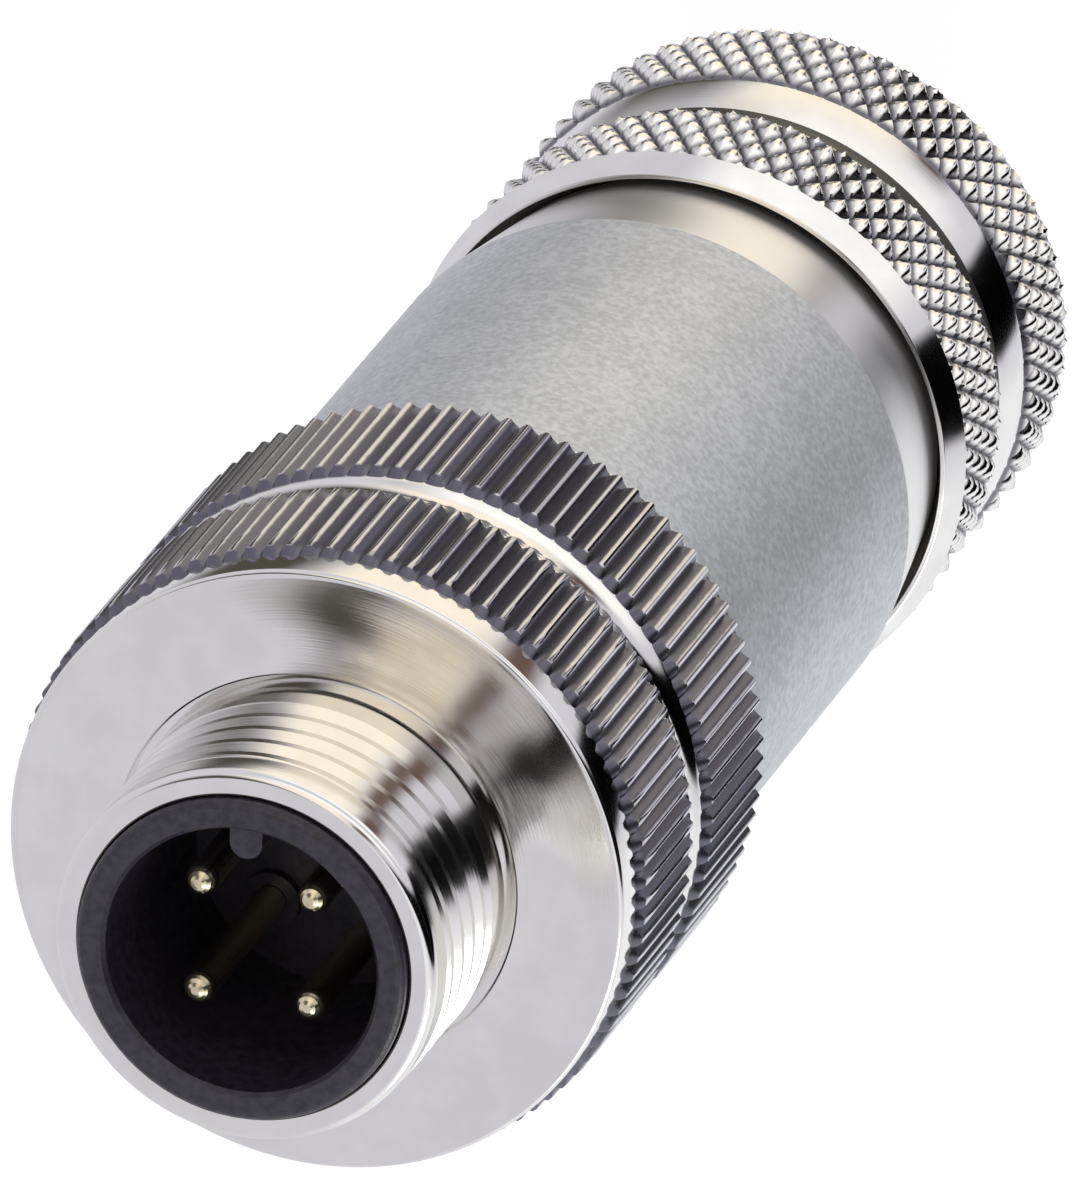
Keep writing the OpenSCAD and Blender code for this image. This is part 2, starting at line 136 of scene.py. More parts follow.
def makeCamera(s):
    data = bpy.data.cameras.new("camera")
    data.lens = s["lens"]
    data.sensor_fit = "VERTICAL"
    data.sensor_height = s["sensorHeight"]
    data.clip_start, data.clip_end = s["clipStart"] * mm, s["clipEnd"] * mm
    cam = bpy.data.objects.new("camera", data)
    bpy.context.scene.collection.objects.link(cam)
    back = pointing(s["azimuth"], s["elevation"])
    aim = Vector(s["aim"]) * mm
    turn = back.to_track_quat("Z", "Y").to_matrix().to_4x4()
    roll = Matrix.Rotation(math.radians(s["roll"]), 4, "Z")
    cam.matrix_world = Matrix.Translation(aim + back * s["distance"] * mm) @ turn @ roll
    bpy.context.scene.camera = cam


makeCamera(cameraSettings)
bpy.context.scene.view_settings.view_transform = "Standard"
print("camera placed")


# pale floor, soft surround, and a few cards for the metal to mirror
studioSettings = {
    "surround": "#e6e6ef", "strength": 1.0,
    "seam": -100.0,    # azimuths below this are counted on past half a turn
    "floorSize": 1600.0, "floorGlow": 0.8, "floor": "#8c8c8c",
    "floorDrop": 10.5,    # clear of the gland nut when both joints are wound out
    "sunAzimuth": 306.0, "sunElevation": 34.0, "sunStrength": 0.8, "sunAngle": 30.0,
}

# azimuth and elevation from and to, softness, colour, brightness;
# each card hangs both above and below the plug, so that the barrel mirrored in the face agrees
studioCards = {
    "creamSheet": (60, 118, 38, 92, 9, "#fff6e4", 1.28),
    "leftSheet": (186, 262, 30, 80, 14, "#e3e3ec", 1.0),
    "rightSheet": (-88, -26, -1, 92, 8, "#f6f8fc", 1.15),
    "skySheet": (30, 100, 16, 40, 8, "#ffffff", 1.35),
    "brownCard": (40, 55, 46, 78, 4, "#6e5a52", 1.0),
    "oliveCard": (124, 168, 44, 80, 9, "#55524a", 1.0),
    "blackFlag": (-17, 17, -1, 76, 2, "#040404", 1.0),
}
white = (1.0, 1.0, 1.0, 1.0)


def softBand(tree, value, low, high, soft):
    # 1 between low and high, with soft ends
    rise = addNode(tree, "ShaderNodeMapRange", {
        "Value": value, "From Min": low - soft, "From Max": low + soft})
    fall = addNode(tree, "ShaderNodeMapRange", {
        "Value": value, "From Min": high - soft, "From Max": high + soft, "To Min": 1.0, "To Max": 0.0})
    return addNode(tree, "ShaderNodeMath", (rise, fall), operation="MULTIPLY")


def makeSurround(s, cards):
    world = bpy.data.worlds.new("studio")
    bpy.context.scene.world = world
    world.use_nodes = True
    tree = world.node_tree
    tree.nodes.clear()
    direction = addNode(tree, "ShaderNodeTexCoord").outputs["Generated"]
    x, y, z = addNode(tree, "ShaderNodeSeparateXYZ", (direction,)).outputs
    bearing = addNode(tree, "ShaderNodeMath", (y, x), operation="ARCTAN2")
    azimuth = addNode(tree, "ShaderNodeMath", (bearing, 180 / math.pi), operation="MULTIPLY")
    tilt = addNode(tree, "ShaderNodeMath", (z,), operation="ABSOLUTE")
    height = addNode(tree, "ShaderNodeMath", (tilt,), operation="ARCSINE")
    elevation = addNode(tree, "ShaderNodeMath", (height, 180 / math.pi), operation="MULTIPLY")
    behind = addNode(tree, "ShaderNodeMath", (azimuth, s["seam"]), operation="LESS_THAN")
    turn = addNode(tree, "ShaderNodeMath", (behind, 360.0), operation="MULTIPLY")
    azimuth = addNode(tree, "ShaderNodeMath", (azimuth, turn), operation="ADD")
    colour = toLinear(s["surround"])
    for azFrom, azTo, elFrom, elTo, soft, tint, bright in cards.values():
        cover = addNode(tree, "ShaderNodeMath", (
            softBand(tree, azimuth, azFrom, azTo, soft),
            softBand(tree, elevation, elFrom, elTo, soft)), operation="MULTIPLY")
        lit = [c * bright for c in toLinear(tint)[:3]] + [1.0]
        colour = addNode(tree, "ShaderNodeMix", {0: cover, 6: colour, 7: lit},
                         data_type="RGBA").outputs[2]
    # plain white where the eye looks past the floor
    path = addNode(tree, "ShaderNodeLightPath").outputs
    seen = addNode(tree, "ShaderNodeMath", (path["Is Camera Ray"], path["Is Transmission Ray"]),
                   operation="ADD")
    colour = addNode(tree, "ShaderNodeMix", {0: seen, 6: colour, 7: white}, data_type="RGBA").outputs[2]
    light = addNode(tree, "ShaderNodeBackground", {"Color": colour, "Strength": s["strength"]})
    addNode(tree, "ShaderNodeOutputWorld", {"Surface": light})


def makeFloor(s):
    half = s["floorSize"] * mm / 2
    mesh = bpy.data.meshes.new("floor")
    mesh.from_pydata([(-half, -half, 0), (half, -half, 0), (half, half, 0), (-half, half, 0)],
                     [], [(0, 1, 2, 3)])
    floor = bpy.data.objects.new("floor", mesh)
    bpy.context.scene.collection.objects.link(floor)
    floor.location.z = -s["floorDrop"] * mm
    paint = bpy.data.materials.new("floorPaint")
    paint.use_nodes = True
    tree = paint.node_tree
    tree.nodes.clear()
    # white to the eye, with the shadow of the plug kept
    path = addNode(tree, "ShaderNodeLightPath").outputs
    bounced = addNode(tree, "ShaderNodeMath", (path["Is Glossy Ray"], path["Is Transmission Ray"]),
                      operation="ADD")
    seen = addNode(tree, "ShaderNodeMath", (path["Is Camera Ray"], bounced), operation="ADD")
    strength = addNode(tree, "ShaderNodeMath", (seen, s["floorGlow"]), operation="MULTIPLY")
    glow = addNode(tree, "ShaderNodeEmission", {"Color": white, "Strength": strength})
    diffuse = addNode(tree, "ShaderNodeBsdfDiffuse", {"Color": toLinear(s["floor"])})
    both = addNode(tree, "ShaderNodeAddShader", (glow, diffuse))
    addNode(tree, "ShaderNodeOutputMaterial", {"Surface": both})
    mesh.materials.append(paint)
    floor.visible_glossy = False


def makeSun(s):
    lamp = bpy.data.lights.new("sun", "SUN")
    lamp.energy = s["sunStrength"]
    lamp.angle = math.radians(s["sunAngle"])
    sun = bpy.data.objects.new("sun", lamp)
    bpy.context.scene.collection.objects.link(sun)
    sun.rotation_euler = pointing(s["sunAzimuth"], s["sunElevation"]).to_track_quat("Z", "Y").to_euler()


makeSurround(studioSettings, studioCards)
makeFloor(studioSettings)
makeSun(studioSettings)
print("studio ready")


noiseLow, noiseHigh = 0.3, 0.7    # most of a noise texture's values lie between these


def newMaterial(name, colour, roughness, metallic):
    material = bpy.data.materials.new(name)
    material.use_nodes = True
    tree = material.node_tree
    tree.nodes.clear()
    shader = addNode(tree, "ShaderNodeBsdfPrincipled", {
        "Base Color": toLinear(colour), "Roughness": roughness, "Metallic": metallic})
    addNode(tree, "ShaderNodeOutputMaterial", {"Surface": shader})
    return material, tree, shader.inputs


def objectPlace(tree):
    # place on the piece in millimetres, and its distance from the plug's axis
    spot = addNode(tree, "ShaderNodeVectorMath", {
        0: addNode(tree, "ShaderNodeTexCoord").outputs["Object"], "Scale": 1 / mm}, operation="SCALE")
    x, y, z = addNode(tree, "ShaderNodeSeparateXYZ", (spot,)).outputs
    ySquared = addNode(tree, "ShaderNodeMath", (y, y), operation="MULTIPLY")
    squares = addNode(tree, "ShaderNodeMath", (x, x, ySquared), operation="MULTIPLY_ADD")
    return spot, addNode(tree, "ShaderNodeMath", (squares,), operation="SQRT"), z


def ramp(tree, value, low, high, fromColour, toColour):
    # runs from one colour to the other as the value goes from low to high
    share = addNode(tree, "ShaderNodeMapRange", {
        "Value": value, "From Min": low, "From Max": high}, interpolation_type="SMOOTHSTEP")
    return addNode(tree, "ShaderNodeMix", {
        0: share, 6: toLinear(fromColour), 7: toLinear(toColour)}, data_type="RGBA").outputs[2]


def roughen(tree, surface, height, depth):
    # shallow relief of the given depth
    bump = addNode(tree, "ShaderNodeBump", {"Height": height, "Strength": 1.0, "Distance": depth * mm})
    tree.links.new(bump.outputs[0], surface["Normal"])


brightSettings = {
    "base": ("#e3e1de", 0.12, 1.0), "plate": ("#e4e2df", "#dfdcd8"), "polish": (0.08, 0.12),
    # the bore colour is a dark colour painted inside the bore as shade; its dulling is roughness
    "cloudScale": 0.8, "bore": "#54514c", "boreDulling": 0.3,
    "lineSpacing": 0.07, "lineDepth": 0.0012,    # coarser than true turning marks, so that they show
}


def makeBrightNickel(name, boreRadius, boreLow):
    # bright nickel plate on turned brass: mirror-like, with fine lathe lines; inside the given radius
    # and above the given height, in the bore and at the bottom of a groove, it is duller, and its
    # colour is darkened there as painted shade
    s = brightSettings
    material, tree, surface = newMaterial(name, *s["base"])
    spot, radius, z = objectPlace(tree)
    across = addNode(tree, "ShaderNodeMath", (radius, s["lineSpacing"]), operation="DIVIDE")
    along = addNode(tree, "ShaderNodeMath", (z, s["lineSpacing"]), operation="DIVIDE")
    lines = addNode(tree, "ShaderNodeTexNoise", {
        "Vector": addNode(tree, "ShaderNodeCombineXYZ", (across, along)),
        "Scale": 1.0, "Detail": 2.0, "Roughness": 0.6})
    roughen(tree, surface, lines, s["lineDepth"])
    cloud = addNode(tree, "ShaderNodeTexNoise", {"Vector": spot, "Scale": s["cloudScale"], "Detail": 3.0})
    polish = addNode(tree, "ShaderNodeMapRange", {
        "Value": cloud, "From Min": noiseLow, "From Max": noiseHigh,
        "To Min": s["polish"][0], "To Max": s["polish"][1]})
    # mask of the painted shade: inside the given radius and above the given height
    inside = addNode(tree, "ShaderNodeMath", (radius, boreRadius), operation="LESS_THAN")
    above = addNode(tree, "ShaderNodeMath", (z, boreLow), operation="GREATER_THAN")
    bore = addNode(tree, "ShaderNodeMath", (inside, above), operation="MULTIPLY")
    rough = addNode(tree, "ShaderNodeMath", (bore, s["boreDulling"], polish), operation="MULTIPLY_ADD")
    tree.links.new(rough.outputs[0], surface["Roughness"])
    colour = addNode(tree, "ShaderNodeMix", {
        0: bore, 6: ramp(tree, cloud, noiseLow, noiseHigh, *s["plate"]), 7: toLinear(s["bore"])},
        data_type="RGBA")
    tree.links.new(colour.outputs[2], surface["Base Color"])
    return material


knurlFinish = {"base": ("#e6e3dc", 0.2, 1.0), "shadeNoiseScale": 2.2, "shadeNoiseReach": 0.05,
               "grooveRoughness": 0.34, "crestRoughness": 0.14}


def makeKnurlNickel(name, grooveRadius, crestRadius, grooveShadeColour, crestColour):
    # the same plate over a knurl: rougher in the grooves, and its colour runs from the crest colour down
    # to painted shade in the grooves, the shade's edge shifted by noise
    s = knurlFinish
    material, tree, surface = newMaterial(name, *s["base"])
    spot, radius, z = objectPlace(tree)
    shadeNoise = addNode(tree, "ShaderNodeTexNoise", {"Vector": spot, "Scale": s["shadeNoiseScale"], "Detail": 3.0})
    raised = addNode(tree, "ShaderNodeMath", (radius, s["shadeNoiseReach"] / 2), operation="ADD")
    level = addNode(tree, "ShaderNodeMath", (shadeNoise, -s["shadeNoiseReach"], raised), operation="MULTIPLY_ADD")
    # colour from the painted groove shade up to the crest colour
    tree.links.new(ramp(tree, level, grooveRadius, crestRadius, grooveShadeColour, crestColour),
                   surface["Base Color"])
    rough = addNode(tree, "ShaderNodeMapRange", {
        "Value": level, "From Min": grooveRadius, "From Max": crestRadius,
        "To Min": s["grooveRoughness"], "To Max": s["crestRoughness"]})
    tree.links.new(rough.outputs[0], surface["Roughness"])
    return material


satinSettings = {
    "base": ("#c4c4c2", 0.55, 0.85), "blasted": ("#bfc1c3", "#dadcde"), "blastedRoughness": 0.56,
    "polished": "#e8e6e4", "polishedRoughness": 0.3, "pitsLeft": 0.1,
    "grainScale": 4.4, "cloudScale": 0.5, "cloudShare": 0.25, "pitDepth": 0.014,
}


def makeSatinNickel(name, taperLow, taperHigh):
    # blasted and plated sleeve: satin grey with a fine grain, and a polished taper at its rear,
    # between the two given heights; grit of about 0.15 mm leaves shallow pits, hardly any on the taper
    s = satinSettings
    material, tree, surface = newMaterial(name, *s["base"])
    spot, radius, z = objectPlace(tree)
    grain = addNode(tree, "ShaderNodeTexNoise", {
        "Vector": spot, "Scale": s["grainScale"], "Detail": 2.0, "Roughness": 0.6})
    cloud = addNode(tree, "ShaderNodeTexNoise", {"Vector": spot, "Scale": s["cloudScale"], "Detail": 2.0})
    fine = addNode(tree, "ShaderNodeMath", (grain, 1 - s["cloudShare"]), operation="MULTIPLY")
    mottle = addNode(tree, "ShaderNodeMath", (cloud, s["cloudShare"], fine), operation="MULTIPLY_ADD")
    above = addNode(tree, "ShaderNodeMath", (z, taperLow), operation="GREATER_THAN")
    below = addNode(tree, "ShaderNodeMath", (z, taperHigh), operation="LESS_THAN")
    taper = addNode(tree, "ShaderNodeMath", (above, below), operation="MULTIPLY")
    colour = addNode(tree, "ShaderNodeMix", {
        0: taper, 6: ramp(tree, mottle, noiseLow, noiseHigh, *s["blasted"]),
        7: toLinear(s["polished"])}, data_type="RGBA")
    tree.links.new(colour.outputs[2], surface["Base Color"])
    change = s["polishedRoughness"] - s["blastedRoughness"]
    rough = addNode(tree, "ShaderNodeMath", (taper, change, s["blastedRoughness"]),
                    operation="MULTIPLY_ADD")
    tree.links.new(rough.outputs[0], surface["Roughness"])
    pits = addNode(tree, "ShaderNodeMath", (taper, s["pitsLeft"] - 1, 1.0), operation="MULTIPLY_ADD")
    height = addNode(tree, "ShaderNodeMath", (grain, pits), operation="MULTIPLY")
    roughen(tree, surface, height, s["pitDepth"])
    return material


def makeGrained(name, dark, light, smooth, dull, metallic, scale, depth):
    # colour, gloss and a shallow relief that all follow one grain, its scale in cells a millimetre
    material, tree, surface = newMaterial(name, light, smooth, metallic)
    spot, radius, z = objectPlace(tree)
    grain = addNode(tree, "ShaderNodeTexNoise", {
        "Vector": spot, "Scale": scale, "Detail": 4.0, "Roughness": 0.6})
    tree.links.new(ramp(tree, grain, noiseLow, noiseHigh, dark, light), surface["Base Color"])
    rough = addNode(tree, "ShaderNodeMapRange", {
        "Value": grain, "From Min": noiseLow, "From Max": noiseHigh, "To Min": dull, "To Max": smooth})
    tree.links.new(rough.outputs[0], surface["Roughness"])
    roughen(tree, surface, grain, depth)
    return material


# each nut's bore, and the bottom of the gland's groove, is darkened with painted shade
couplingNickel = makeBrightNickel("couplingBrightNickel", boreRadius=5.2, boreLow=0.0)
glandNickel = makeBrightNickel("glandBrightNickel", boreRadius=8.43, boreLow=0.6)
# the groove colours are painted shade in the hollows of the knurls
straightKnurlNickel = makeKnurlNickel("straightKnurlNickel", grooveRadius=9.78, crestRadius=9.84,
                                      grooveShadeColour="#67666f", crestColour="#c6c5c9")
diamondKnurlNickel = makeKnurlNickel("diamondKnurlNickel", grooveRadius=8.72, crestRadius=8.86,
                                     grooveShadeColour="#77767a", crestColour="#e9e6e0")
satinNickel = makeSatinNickel("satinNickel", taperLow=11.0, taperHigh=16.32)
# moulded glass-filled polyamide: near black with a violet cast and a soft sheen
insertPlastic = makeGrained("blackPolyamide", dark="#19151f", light="#2f2a38", smooth=0.3, dull=0.46,
                            metallic=0.0, scale=3.5, depth=0.006)
# pale gold plate over copper alloy, as drawn from the strip: smooth, a little uneven in tone
pinGold = makeGrained("goldPlate", dark="#cbc09f", light="#ddd3b2", smooth=0.16, dull=0.26,
                      metallic=1.0, scale=2.0, depth=0.002)
# zinc-plated steel of the screws, dull in the hollows of the plate
screwSteel = makeGrained("zincPlate", dark="#9fa2a4", light="#bcbdbc", smooth=0.26, dull=0.42,
                         metallic=1.0, scale=3.0, depth=0.004)
# spring steel of the ring and washer: rolled, darker and with a fine tooth
springSteel = makeGrained("springSteel", dark="#84837f", light="#a09e99", smooth=0.3, dull=0.46,
                          metallic=1.0, scale=5.0, depth=0.006)
# moulded nitrile rubber: matt black with a chalky bloom
sealRubber = makeGrained("nitrileRubber", dark="#171718", light="#2a2a2b", smooth=0.55, dull=0.75,
                         metallic=0.0, scale=2.5, depth=0.02)
# undyed polyamide: off-white, faintly waxy
whitePlastic = makeGrained("naturalPolyamide", dark="#d2cebf", light="#e0dccf", smooth=0.38, dull=0.52,
                           metallic=0.0, scale=1.5, depth=0.01)
# nickel plate inside, never polished: dull and a little yellow
dullNickel = makeGrained("dullNickel", dark="#a9a59c", light="#bebab1", smooth=0.26, dull=0.4,
                         metallic=1.0, scale=2.5, depth=0.004)

cadFinish = {
    "coupling_nut": couplingNickel, "gland_nut": glandNickel, "body_sleeve": satinNickel,
    "front_carrier": dullNickel, "shield_ring": dullNickel, "contact_insert": insertPlastic,
    "nut_retaining_ring": springSteel, "thrust_washer": springSteel,
    "carrier_seal": sealRubber, "cable_seal": sealRubber,
    "insulating_liner": whitePlastic, "clamp_cage": whitePlastic,
}
for number in range(1, 5):
    cadFinish["contact_pin_%d" % number] = pinGold
    cadFinish["terminal_screw_%d" % number] = screwSteel
for name, finish in cadFinish.items():
    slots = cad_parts[name].data.materials
    slots.clear()
    slots.append(finish)
print("finishes made")


def newTree(name, sockets):
    # a tree for what repeats, with its sizes as named inputs
    tree = bpy.data.node_groups.new(name, "GeometryNodeTree")
    tree.interface.new_socket("Geometry", in_out="INPUT", socket_type="NodeSocketGeometry")
    for label, kind in sockets.items():
        tree.interface.new_socket(label, in_out="INPUT", socket_type="NodeSocket" + kind)
    tree.interface.new_socket("Geometry", in_out="OUTPUT", socket_type="NodeSocketGeometry")
    return tree, tree.nodes.new("NodeGroupInput").outputs, tree.nodes.new("NodeGroupOutput")


def endTree(tree, geometry, finish, end):
    # the result comes out as plain mesh with its finish on it
    plain = addNode(tree, "GeometryNodeRealizeInstances", (geometry,))
    dressed = addNode(tree, "GeometryNodeSetMaterial", {"Geometry": plain, "Material": finish})
    tree.links.new(dressed.outputs[0], end.inputs[0])
    return tree


def grow(name, tree, values):
    # runs a tree on an empty object and returns the result as a plain mesh
    holder = bpy.data.objects.new(name + "Holder", bpy.data.meshes.new(name + "Holder"))
    bpy.context.scene.collection.objects.link(holder)
    modifier = holder.modifiers.new("grow", "NODES")
    modifier.node_group = tree
    for item in tree.interface.items_tree:
        if item.in_out == "INPUT" and item.name in values:
            modifier[item.identifier] = values[item.name]
    bpy.context.view_layer.update()
    seen = holder.evaluated_get(bpy.context.evaluated_depsgraph_get())
    mesh = bpy.data.meshes.new_from_object(seen)
    mesh.name = name
    mesh.materials.clear()
    mesh.materials.append(values["Finish"])
    mesh.polygons.foreach_set("material_index", [0] * len(mesh.polygons))
    holder.modifiers.remove(modifier)
    bpy.data.objects.remove(holder)
    return mesh


def roundAxis(tree, radius, angle, height):
    # the place at a radius, an angle and a height round Z
    cosine = addNode(tree, "ShaderNodeMath", (angle,), operation="COSINE")
    sine = addNode(tree, "ShaderNodeMath", (angle,), operation="SINE")
    x = addNode(tree, "ShaderNodeMath", (radius, cosine), operation="MULTIPLY")
    y = addNode(tree, "ShaderNodeMath", (radius, sine), operation="MULTIPLY")
    return addNode(tree, "ShaderNodeCombineXYZ", (x, y, height))


def position(tree):
    # x, y and z of each point
    return addNode(tree, "ShaderNodeSeparateXYZ", (addNode(tree, "GeometryNodeInputPosition"),)).outputs


def wrapRound(tree, geometry, given):
    # bends a flat strip, x as angle and y as height, round Z, and trims it to its chamfered ends
    x, y, z = position(tree)
    fromLow = addNode(tree, "ShaderNodeMath", (z, given["Low End"]), operation="SUBTRACT")
    fromHigh = addNode(tree, "ShaderNodeMath", (given["High End"], z), operation="SUBTRACT")
    low = addNode(tree, "ShaderNodeMath", (fromLow, given["Low Slope"], given["End Radius"]),
                  operation="MULTIPLY_ADD")
    high = addNode(tree, "ShaderNodeMath", (fromHigh, given["High Slope"], given["End Radius"]),
                   operation="MULTIPLY_ADD")
    chamfer = addNode(tree, "ShaderNodeMath", (low, high), operation="MINIMUM")
    radius = addNode(tree, "ShaderNodeMath", (y, given["Root Radius"]), operation="ADD")
    radius = addNode(tree, "ShaderNodeMath", (radius, chamfer), operation="MINIMUM")
    radius = addNode(tree, "ShaderNodeMath", (radius, given["Buried Radius"]), operation="MAXIMUM")
    moved = addNode(tree, "GeometryNodeSetPosition", {
        "Geometry": geometry, "Position": roundAxis(tree, radius, x, z)})
    return addNode(tree, "GeometryNodeMergeByDistance", {"Geometry": moved, "Distance": 0.002 * mm})


def repeatTiles(tree, tile, columns, rows, stepAngle, stepHeight, start, stagger):
    # one tile for each point of a grid of columns and rows, every other row shifted
    index = addNode(tree, "GeometryNodeInputIndex")
    column = addNode(tree, "ShaderNodeMath", (index, columns), operation="MODULO")
    middle = addNode(tree, "ShaderNodeMath", (index, 0.5), operation="ADD")
    rowPlace = addNode(tree, "ShaderNodeMath", (middle, columns), operation="DIVIDE")
    row = addNode(tree, "ShaderNodeMath", (rowPlace,), operation="FLOOR")
    oddRow = addNode(tree, "ShaderNodeMath", (row, 2.0), operation="MODULO")
    shift = addNode(tree, "ShaderNodeMath", (oddRow, stagger), operation="MULTIPLY")
    shifted = addNode(tree, "ShaderNodeMath", (column, shift), operation="ADD")
    angle = addNode(tree, "ShaderNodeMath", (shifted, stepAngle), operation="MULTIPLY")
    height = addNode(tree, "ShaderNodeMath", (row, stepHeight, start), operation="MULTIPLY_ADD")
    points = addNode(tree, "GeometryNodePoints", {
        "Count": addNode(tree, "ShaderNodeMath", (columns, rows), operation="MULTIPLY"),
        "Position": addNode(tree, "ShaderNodeCombineXYZ", {0: angle, 2: height})})
    copies = addNode(tree, "GeometryNodeInstanceOnPoints", {"Points": points, "Instance": tile})
    return addNode(tree, "GeometryNodeRealizeInstances", (copies,))


wrapSockets = {
    "Columns": "Int", "Rows": "Int", "Depth": "Float", "Root Radius": "Float",
    "Buried Radius": "Float", "End Radius": "Float", "Low End": "Float", "High End": "Float",
    "Low Slope": "Float", "High Slope": "Float", "Finish": "Material",
}


def makeDiamondTree():
    # pyramids of a rolled diamond knurl, in staggered rows
    tree, given, end = newTree("diamondKnurl", {**wrapSockets, "Row Pitch": "Float", "Peak": "Float"})
    cells = 6    # along each side of a pyramid
    grid = addNode(tree, "GeometryNodeMeshGrid", {
        "Size X": 2.0, "Size Y": 2.0, "Vertices X": cells + 1, "Vertices Y": cells + 1})
    u, v, _ = position(tree)
    stepAngle = addNode(tree, "ShaderNodeMath", (2 * math.pi, given["Columns"]), operation="DIVIDE")
    quarterStep = addNode(tree, "ShaderNodeMath", (stepAngle, 0.25), operation="MULTIPLY")
    halfPitch = addNode(tree, "ShaderNodeMath", (given["Row Pitch"], 0.5), operation="MULTIPLY")
    sideways = addNode(tree, "ShaderNodeMath", (u, v), operation="SUBTRACT")
    upwards = addNode(tree, "ShaderNodeMath", (u, v), operation="ADD")
    across = addNode(tree, "ShaderNodeMath", (sideways, quarterStep), operation="MULTIPLY")
    along = addNode(tree, "ShaderNodeMath", (upwards, halfPitch), operation="MULTIPLY")
    # 0 at the middle of the pyramid, 1 on its four edges
    edge = addNode(tree, "ShaderNodeMath", (
        addNode(tree, "ShaderNodeMath", (u,), operation="ABSOLUTE"),
        addNode(tree, "ShaderNodeMath", (v,), operation="ABSOLUTE")), operation="MAXIMUM")
    fall = addNode(tree, "ShaderNodeMath", (edge, given["Peak"]), operation="POWER")
    rise = addNode(tree, "ShaderNodeMath", (1.0, fall), operation="SUBTRACT")
    height = addNode(tree, "ShaderNodeMath", (rise, given["Depth"]), operation="MULTIPLY")
    tile = addNode(tree, "GeometryNodeSetPosition", {
        "Geometry": grid, "Position": addNode(tree, "ShaderNodeCombineXYZ", (across, height, along))})
    strip = repeatTiles(tree, tile, given["Columns"], given["Rows"], stepAngle,
                        given["Row Pitch"], given["Low End"], stagger=0.5)
    # cut off what lies more than a quarter of a cell past the band's two ends
    x, y, z = position(tree)
    slack = addNode(tree, "ShaderNodeMath", (given["Row Pitch"], 2.0 * cells), operation="DIVIDE")
    lowest = addNode(tree, "ShaderNodeMath", (given["Low End"], slack), operation="SUBTRACT")
    highest = addNode(tree, "ShaderNodeMath", (given["High End"], slack), operation="ADD")
    under = addNode(tree, "ShaderNodeMath", (z, lowest), operation="LESS_THAN")
    over = addNode(tree, "ShaderNodeMath", (z, highest), operation="GREATER_THAN")
    kept = addNode(tree, "GeometryNodeDeleteGeometry", {
        "Geometry": strip, "Selection": addNode(tree, "ShaderNodeMath", (under, over), operation="ADD")},
        domain="FACE")
    capped = addNode(tree, "ShaderNodeMath", (z, given["High End"]), operation="MINIMUM")
    level = addNode(tree, "ShaderNodeMath", (given["Low End"], capped), operation="MAXIMUM")
    trimmed = addNode(tree, "GeometryNodeSetPosition", {
        "Geometry": kept, "Position": addNode(tree, "ShaderNodeCombineXYZ", (x, y, level))})
    return endTree(tree, wrapRound(tree, trimmed, given), given["Finish"], end)


def makeStraightTree():
    # teeth of a straight knurl: a flat crest with a V groove on each side
    tree, given, end = newTree("straightKnurl", {**wrapSockets, "Crest": "Float", "Margin": "Float"})
    grid = addNode(tree, "GeometryNodeMeshGrid", {
        "Size X": 2.0, "Size Y": 1.0, "Vertices X": 9, "Vertices Y": 12})
    u, v, _ = position(tree)
    stepAngle = addNode(tree, "ShaderNodeMath", (2 * math.pi, given["Columns"]), operation="DIVIDE")
    halfStep = addNode(tree, "ShaderNodeMath", (stepAngle, 0.5), operation="MULTIPLY")
    across = addNode(tree, "ShaderNodeMath", (u, halfStep), operation="MULTIPLY")
    band = addNode(tree, "ShaderNodeMath", (given["High End"], given["Low End"]), operation="SUBTRACT")
    length = addNode(tree, "ShaderNodeMath", (given["Margin"], 2.0, band), operation="MULTIPLY_ADD")
    # rows crowd towards the two ends, where the teeth run out
    angle = addNode(tree, "ShaderNodeMath", (v, math.pi), operation="MULTIPLY")
    crowded = addNode(tree, "ShaderNodeMath", (angle,), operation="SINE")
    share = addNode(tree, "ShaderNodeMath", (crowded, 0.5, 0.5), operation="MULTIPLY_ADD")
    along = addNode(tree, "ShaderNodeMath", (share, length), operation="MULTIPLY")
    offCentre = addNode(tree, "ShaderNodeMath", (u,), operation="ABSOLUTE")
    flank = addNode(tree, "ShaderNodeMath", (
        addNode(tree, "ShaderNodeMath", (1.0, offCentre), operation="SUBTRACT"),
        addNode(tree, "ShaderNodeMath", (1.0, given["Crest"]), operation="SUBTRACT")),
        operation="DIVIDE")
    rise = addNode(tree, "ShaderNodeMapRange", {"Value": flank})
    height = addNode(tree, "ShaderNodeMath", (rise, given["Depth"]), operation="MULTIPLY")
    tile = addNode(tree, "GeometryNodeSetPosition", {
        "Geometry": grid, "Position": addNode(tree, "ShaderNodeCombineXYZ", (across, height, along))})
    start = addNode(tree, "ShaderNodeMath", (given["Low End"], given["Margin"]), operation="SUBTRACT")
    strip = repeatTiles(tree, tile, given["Columns"], given["Rows"], stepAngle,
                        stepHeight=0.0, start=start, stagger=0.0)
    return endTree(tree, wrapRound(tree, strip, given), given["Finish"], end)


